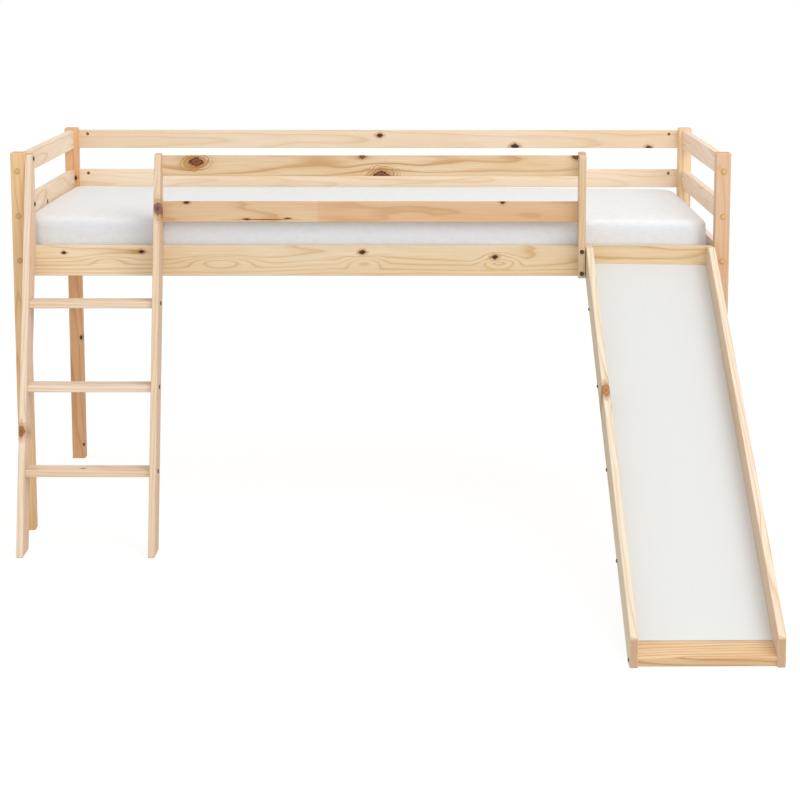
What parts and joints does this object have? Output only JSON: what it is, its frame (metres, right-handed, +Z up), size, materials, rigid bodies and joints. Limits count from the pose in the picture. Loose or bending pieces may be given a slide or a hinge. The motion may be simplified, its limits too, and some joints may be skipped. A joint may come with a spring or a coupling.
{
  "type": "loft bed",
  "caption": "Half-high pine loft bed with a leaning ladder, a front guard rail, a white slide and a mattress in a white fitted sheet.",
  "frame": {"origin": "bottom centre of the whole object's box, on the floor", "axes": "+X along the bed's length towards the slide, +Y from the slide's foot to the bed's back, +Z up"},
  "size_m": [2.065, 2.2028, 1.11],
  "materials": {
    "pine": "planed softwood with knots, clear matt",
    "sheet": "white knitted cotton fitted sheet",
    "panel": "white laminate, satin",
    "cap": "beige moulded caps",
    "dark_metal": "dark bronze plated heads",
    "zinc_metal": "zinc plated"
  },
  "bodies": {
    "bed": {"post_front_left": "pine", "post_front_right": "pine", "post_back_left": "pine", "post_back_right": "pine", "back_rail_top": "pine", "back_rail_mid": "pine", "bed_rail_back": "pine", "bed_rail_front": "pine", "end_rail_left_top": "pine", "end_rail_left_mid": "pine", "end_rail_left_low": "pine", "end_rail_right_top": "pine", "end_rail_right_mid": "pine", "end_rail_right_low": "pine", "slat_batten_front": "pine", "slat_batten_back": "pine", "slat_01": "pine", "slat_02": "pine", "slat_03": "pine", "slat_04": "pine", "slat_05": "pine", "slat_06": "pine", "slat_07": "pine", "slat_08": "pine", "slat_09": "pine", "slat_10": "pine", "slat_11": "pine", "slat_12": "pine", "slat_13": "pine", "slat_14": "pine", "ladder_stile_left": "pine", "ladder_stile_right": "pine", "ladder_rung_1": "pine", "ladder_rung_2": "pine", "ladder_rung_3": "pine", "guard_board_top": "pine", "guard_board_mid": "pine", "guard_post": "pine", "slide_side_left": "pine", "slide_side_right": "pine", "slide_end_board": "pine", "slide_batten_1": "pine", "slide_batten_2": "pine", "slide_batten_3": "pine", "slide_batten_4": "pine", "slide_panel": "panel", "bolt_caps": "cap", "ladder_bolts": "dark_metal", "rung_screws": "dark_metal", "guard_bolts": "dark_metal", "slide_screws": "dark_metal", "frame_bolts": "zinc_metal", "barrel_nuts": "zinc_metal", "ladder_nuts": "zinc_metal", "guard_board_bolts": "zinc_metal", "slide_bolts": "zinc_metal", "slat_screws": "zinc_metal", "batten_screws": "zinc_metal"},
    "bedding": {"mattress": "sheet"}
  },
  "joints": [
    {"name": "mattress_lift", "type": "slide", "parent": "bed", "child": "bedding", "axis": [0, 0, 1], "range_m": [0, 0.35]}
  ]
}
